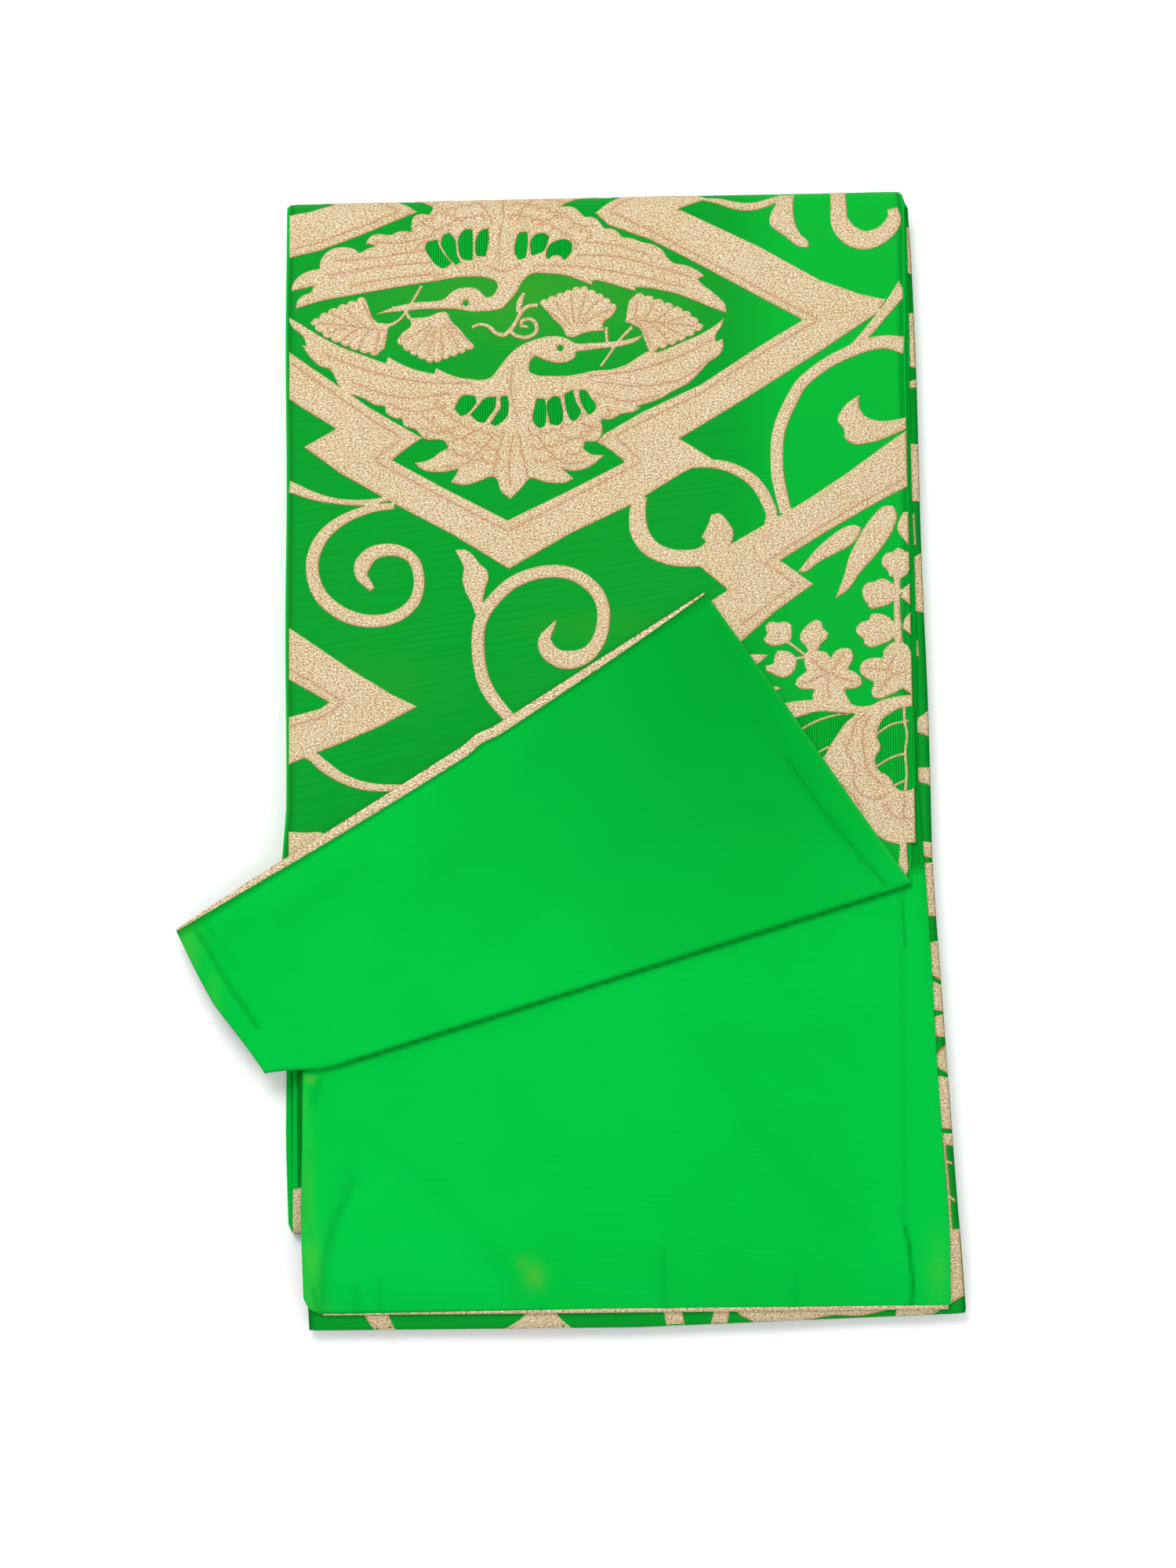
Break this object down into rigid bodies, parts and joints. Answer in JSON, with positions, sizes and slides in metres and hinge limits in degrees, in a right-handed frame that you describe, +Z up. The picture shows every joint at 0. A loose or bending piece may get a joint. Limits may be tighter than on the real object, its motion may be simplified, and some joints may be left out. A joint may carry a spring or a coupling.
{
  "type": "folded obi sash",
  "caption": "Kimono obi sash of brocade with a plain back, folded flat in long stretches with one end turned over on the slant.",
  "frame": {"origin": "centre of the outline, on the surface that the folded sash lies on", "axes": "+X across the sash, +Y along it towards the far folds, +Z up out of the surface"},
  "size_m": [0.383, 0.564, 0.0231],
  "materials": {
    "brocade": "satin silk brocade in fresh green with pale gold thread pattern",
    "lining": "plain bright green silk with a fine weave and a soft sheen",
    "gold_band": "pale gold thread weave"
  },
  "bodies": {
    "root": {"brocade_top": "brocade", "lining_top": "lining", "end_band_top": "gold_band", "brocade_panel": "brocade", "lining_panel": "lining", "end_band_panel": "gold_band", "brocade_third": "brocade", "brocade_underside": "brocade", "inner_layers": "lining"}
  },
  "joints": []
}
